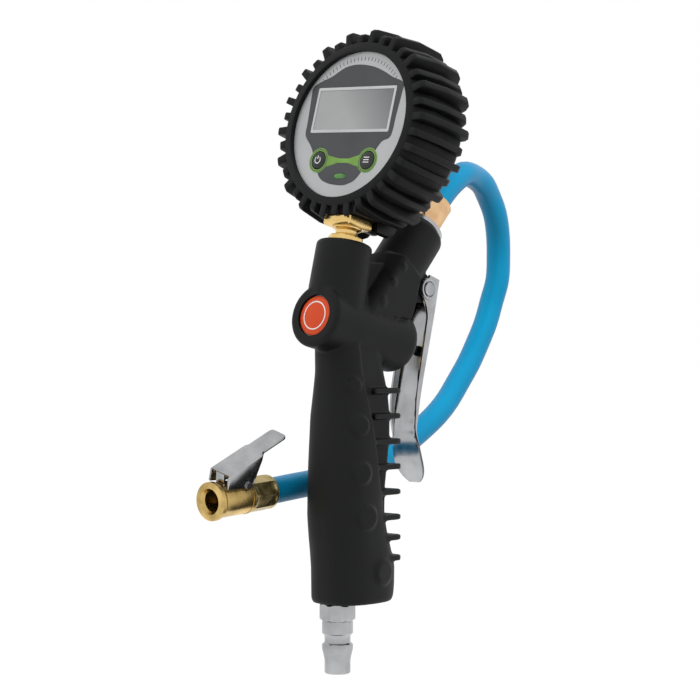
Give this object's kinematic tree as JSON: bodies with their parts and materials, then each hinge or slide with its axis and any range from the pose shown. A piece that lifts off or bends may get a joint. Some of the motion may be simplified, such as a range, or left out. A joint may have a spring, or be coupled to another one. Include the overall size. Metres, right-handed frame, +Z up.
{
  "type": "tyre inflator with gauge",
  "caption": "Hand-held tyre inflator: rubber-sleeved handle with a squeeze lever, round digital gauge on its neck, and a short hose with a clip-on valve chuck.",
  "frame": {"origin": "centre of the air inlet plug's tip face", "axes": "+Z up the handle from the plug, -Y towards the user who reads the gauge, +Y towards the lever and the hose, +X to the user's right"},
  "size_m": [0.08, 0.1726, 0.2468],
  "materials": {
    "rubber": "matt moulded black rubber",
    "alloy": "die cast, as cast",
    "plated_steel": "bright nickel plate",
    "sheet_steel": "polished and plated sheet",
    "brass": "turned brass",
    "bronze": "sintered bronze",
    "copper": "soft copper",
    "spring_steel": "drawn wire",
    "seal_rubber": "nitrile seal",
    "acetal": "turned black acetal",
    "badge_orange": "domed plastic disc",
    "case_grey": "moulded case plastic",
    "label_print": "printed silver film with a graphite panel",
    "display": "clear display window",
    "display_cell": "grey display cell",
    "circuit_green": "coated circuit board",
    "sensor_steel": "stainless can",
    "battery_sleeve": "plain printed sleeve",
    "lens_green": "clear tinted lens",
    "key_black": "soft-touch keys",
    "hose_blue": "smooth blue hose"
  },
  "bodies": {
    "body": {"valve_body": "alloy", "grip_sleeve": "rubber", "inlet_plug": "plated_steel", "inlet_washer": "seal_rubber", "inlet_filter": "bronze", "valve_cap": "alloy", "cap_seal": "seal_rubber", "badge": "badge_orange", "valve_seat": "brass", "valve_spring": "spring_steel", "spindle_gland": "brass", "gland_seals": "seal_rubber", "outlet_fitting": "plated_steel", "outlet_ferrule": "brass", "gauge_stem": "brass", "stem_washer": "copper", "gauge_case": "case_grey", "gauge_boot": "rubber", "face_plate": "case_grey", "face_label": "label_print", "lcd_window": "display", "lcd_module": "display_cell", "circuit_board": "circuit_green", "pressure_sensor": "sensor_steel", "batteries": "battery_sleeve", "battery_contacts": "spring_steel", "battery_door": "case_grey", "case_screws": "spring_steel", "status_lens": "lens_green", "tact_switches": "key_black", "trigger_pin": "plated_steel", "hose": "hose_blue", "chuck_ferrule": "brass", "chuck_tail": "brass", "chuck_body": "brass", "chuck_seal": "seal_rubber", "chuck_core_pin": "brass", "chuck_lever_pin": "plated_steel", "chuck_spring": "spring_steel"},
    "lever": {"trigger": "sheet_steel"},
    "spindle": {"valve_spindle": "acetal", "poppet_seal": "seal_rubber"},
    "on_key": {"on_button": "key_black"},
    "func_key": {"func_button": "key_black"},
    "thumb_lever": {"chuck_lever": "sheet_steel"}
  },
  "joints": [
    {"name": "lever_pivot", "type": "hinge", "parent": "body", "child": "lever", "pos_m": [0, 0.04528, 0.14738], "axis": [-1, 0, 0], "range_deg": [0, 12], "stiffness_Nm_per_rad": 2, "springref_deg": -14.32},
    {"name": "spindle_slide", "type": "slide", "parent": "body", "child": "spindle", "axis": [0, -0.9763, 0.2164], "range_m": [0, 0.0049], "deforming": ["valve_spring"]},
    {"name": "on_key_press", "type": "slide", "parent": "body", "child": "on_key", "axis": [0, 0.9763, -0.2164], "range_m": [0, 0.0004], "stiffness_N_per_m": 5000, "springref_m": -0.0002},
    {"name": "func_key_press", "type": "slide", "parent": "body", "child": "func_key", "axis": [0, 0.9763, -0.2164], "range_m": [0, 0.0004], "stiffness_N_per_m": 5000, "springref_m": -0.0002},
    {"name": "thumb_lever_pivot", "type": "hinge", "parent": "body", "child": "thumb_lever", "pos_m": [-0.02196, -0.03087, 0.07384], "axis": [-0.9511, -0.0216, 0.3083], "range_deg": [0, 20], "stiffness_Nm_per_rad": 0.3, "springref_deg": -17.19, "deforming": ["chuck_spring"]}
  ],
  "couplings": [
    {"joint": "spindle_slide", "follows": "lever_pivot", "m_per_rad": 0.0233}
  ]
}
